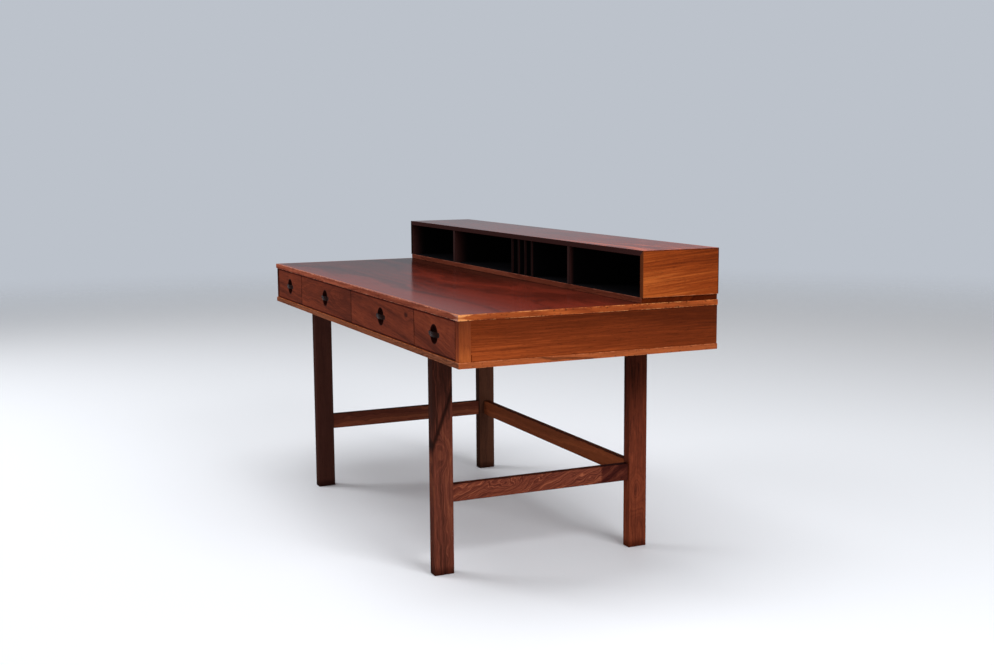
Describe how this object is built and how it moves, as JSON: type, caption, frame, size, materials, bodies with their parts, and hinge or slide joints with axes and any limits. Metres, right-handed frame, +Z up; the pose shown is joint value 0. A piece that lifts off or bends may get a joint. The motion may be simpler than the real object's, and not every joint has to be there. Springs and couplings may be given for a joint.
{
  "type": "partners desk",
  "caption": "Rosewood partners desk with drawers, trestle legs and a hinged pigeonhole gallery that turns over backwards to lengthen the writing surface.",
  "frame": {"origin": "on the floor, under the middle of the desk", "axes": "+X to the right as seen from the drawer side, +Y from the drawers to the gallery, +Z up"},
  "size_m": [1.634, 0.7332, 0.8605],
  "materials": {
    "rosewood_veneer": "glossy lacquer",
    "solid_rosewood": "satin lacquer",
    "drawer_wood": "satin",
    "black_metal": "satin",
    "hinge_brass": "satin",
    "screw_steel": "satin"
  },
  "bodies": {
    "desk": {"leg_front_left": "solid_rosewood", "leg_front_right": "solid_rosewood", "leg_rear_left": "solid_rosewood", "leg_rear_right": "solid_rosewood", "stretcher_left": "solid_rosewood", "stretcher_right": "solid_rosewood", "stretcher_rear": "solid_rosewood", "leg_screws": "screw_steel", "desk_top": "rosewood_veneer", "desk_top_lipping": "solid_rosewood", "case_bottom": "rosewood_veneer", "case_bottom_lipping": "solid_rosewood", "end_panel_left": "rosewood_veneer", "end_panel_right": "rosewood_veneer", "end_panel_lipping": "solid_rosewood", "case_back": "rosewood_veneer", "drawer_partitions": "drawer_wood", "drawer_runners": "drawer_wood", "hinge_fixed_leaves": "hinge_brass", "hinge_pins": "screw_steel", "hinge_fixed_screws": "screw_steel"},
    "gallery": {"gallery_leaf": "rosewood_veneer", "gallery_top": "rosewood_veneer", "gallery_end_left": "rosewood_veneer", "gallery_end_right": "rosewood_veneer", "gallery_back": "rosewood_veneer", "gallery_divider_left": "rosewood_veneer", "gallery_divider_right": "rosewood_veneer", "gallery_slot_dividers": "rosewood_veneer", "hinge_moving_leaves": "hinge_brass", "hinge_moving_screws": "screw_steel"},
    "drawer_1": {"drawer_1_front": "rosewood_veneer", "drawer_1_side_left": "drawer_wood", "drawer_1_side_right": "drawer_wood", "drawer_1_back": "drawer_wood", "drawer_1_bottom": "drawer_wood", "drawer_1_pull_cup": "black_metal", "drawer_1_pull_bar": "black_metal"},
    "drawer_2": {"drawer_2_front": "rosewood_veneer", "drawer_2_side_left": "drawer_wood", "drawer_2_side_right": "drawer_wood", "drawer_2_back": "drawer_wood", "drawer_2_bottom": "drawer_wood", "drawer_2_pull_cup": "black_metal", "drawer_2_pull_bar": "black_metal"},
    "drawer_3": {"drawer_3_front": "rosewood_veneer", "drawer_3_side_left": "drawer_wood", "drawer_3_side_right": "drawer_wood", "drawer_3_back": "drawer_wood", "drawer_3_bottom": "drawer_wood", "drawer_3_pull_cup": "black_metal", "drawer_3_pull_bar": "black_metal"},
    "drawer_4": {"drawer_4_front": "rosewood_veneer", "drawer_4_side_left": "drawer_wood", "drawer_4_side_right": "drawer_wood", "drawer_4_back": "drawer_wood", "drawer_4_bottom": "drawer_wood", "drawer_4_pull_cup": "black_metal", "drawer_4_pull_bar": "black_metal"}
  },
  "joints": [
    {"name": "gallery_hinge", "type": "hinge", "parent": "desk", "child": "gallery", "pos_m": [0, 0.364, 0.727], "axis": [-1, 0, 0], "range_deg": [0, 180]},
    {"name": "drawer_1_slide", "type": "slide", "parent": "desk", "child": "drawer_1", "axis": [0, -1, 0], "range_m": [0, 0.42]},
    {"name": "drawer_2_slide", "type": "slide", "parent": "desk", "child": "drawer_2", "axis": [0, -1, 0], "range_m": [0, 0.42]},
    {"name": "drawer_3_slide", "type": "slide", "parent": "desk", "child": "drawer_3", "axis": [0, -1, 0], "range_m": [0, 0.42]},
    {"name": "drawer_4_slide", "type": "slide", "parent": "desk", "child": "drawer_4", "axis": [0, -1, 0], "range_m": [0, 0.42]}
  ]
}
